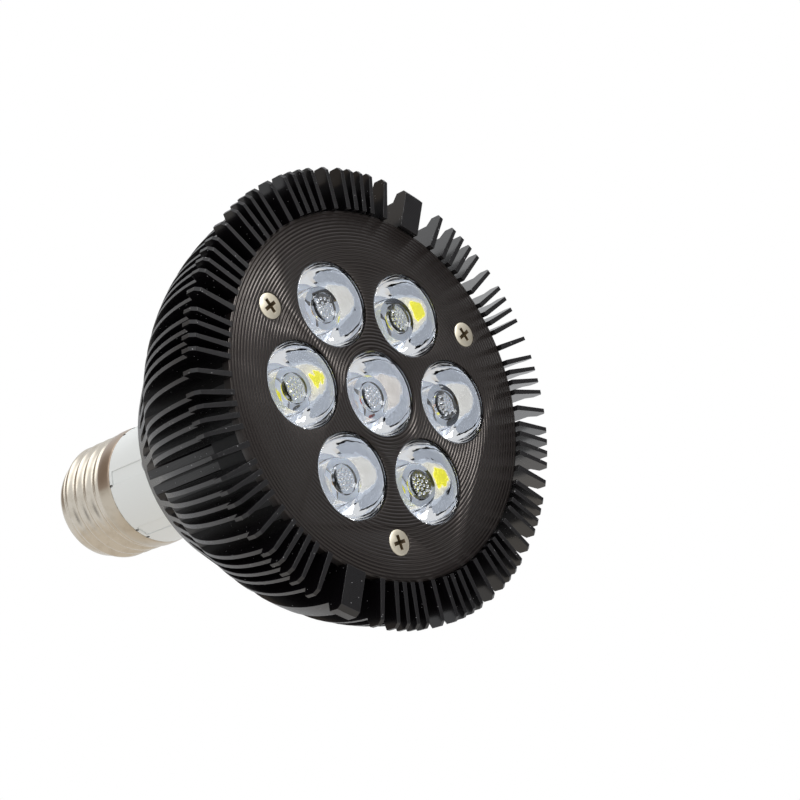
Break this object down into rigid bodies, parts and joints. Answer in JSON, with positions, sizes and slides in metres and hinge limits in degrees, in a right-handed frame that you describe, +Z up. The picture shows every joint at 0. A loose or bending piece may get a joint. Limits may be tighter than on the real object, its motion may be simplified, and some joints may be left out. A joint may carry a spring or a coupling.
{
  "type": "aquarium reflector bulb",
  "caption": "Finned black reflector lamp with a ring of clear spot lenses in a flat screwed front plate, a white plastic collar and a threaded metal screw cap.",
  "frame": {"origin": "centre of the front, level with the front edges of the fins, on the ground", "axes": "+Z up the lamp's axis from the front face to the screw cap, so the light leaves toward -Z; +X toward the lens at the right of the ring"},
  "size_m": [0.0946, 0.0946, 0.1021],
  "materials": {
    "black_anodised_sink": "black anodised, turned over extruded faces",
    "black_anodised_plate": "black anodised, fine turned rings",
    "black_plastic": "moulded black",
    "board_white": "white solder mask on aluminium",
    "grey_pad": "soft grey",
    "nickel_screws": "bright nickel plate",
    "steel_screws": "zinc plated steel",
    "rear_screws": "zinc plated steel",
    "white_plastic": "satin white, moulded",
    "nickel_shell": "satin nickel plate",
    "black_glass": "black glass insulator",
    "contact_metal": "tinned contact",
    "driver_laminate": "bare laminate",
    "transformer_tape": "yellow tape on dark ferrite",
    "capacitor_sleeve": "printed sleeve, plain",
    "film_box": "moulded box",
    "ferrite": "grey ferrite",
    "chip_black": "moulded black",
    "red_lead": "insulated lead",
    "black_lead": "insulated lead",
    "lens_acrylic": "clear polished acrylic",
    "emitter_white": "yellow phosphor under a clear dome",
    "emitter_blue": "clear dome over a bare chip",
    "emitter_red": "clear dome over a bare red chip"
  },
  "bodies": {
    "root": {"heatsink": "black_anodised_sink", "front_plate": "black_anodised_plate", "lens_tray": "black_plastic", "led_board": "board_white", "thermal_pad": "grey_pad", "face_screws": "nickel_screws", "board_screws": "steel_screws", "rear_screws": "rear_screws", "driver_housing": "white_plastic", "screw_shell": "nickel_shell", "cap_insulator": "black_glass", "centre_contact": "contact_metal", "driver_board": "driver_laminate", "transformer": "transformer_tape", "input_capacitor": "capacitor_sleeve", "output_capacitor": "capacitor_sleeve", "film_capacitor": "film_box", "inductor": "ferrite", "controller": "chip_black", "plus_lead": "red_lead", "minus_lead": "black_lead", "contact_lead": "red_lead", "shell_lead": "black_lead", "lens_middle": "lens_acrylic", "lens_right": "lens_acrylic", "lens_upper_right": "lens_acrylic", "lens_upper_left": "lens_acrylic", "lens_left": "lens_acrylic", "lens_lower_left": "lens_acrylic", "lens_lower_right": "lens_acrylic", "emitter_middle": "emitter_red", "emitter_right": "emitter_blue", "emitter_upper_right": "emitter_white", "emitter_upper_left": "emitter_blue", "emitter_left": "emitter_white", "emitter_lower_left": "emitter_blue", "emitter_lower_right": "emitter_white"}
  },
  "joints": []
}
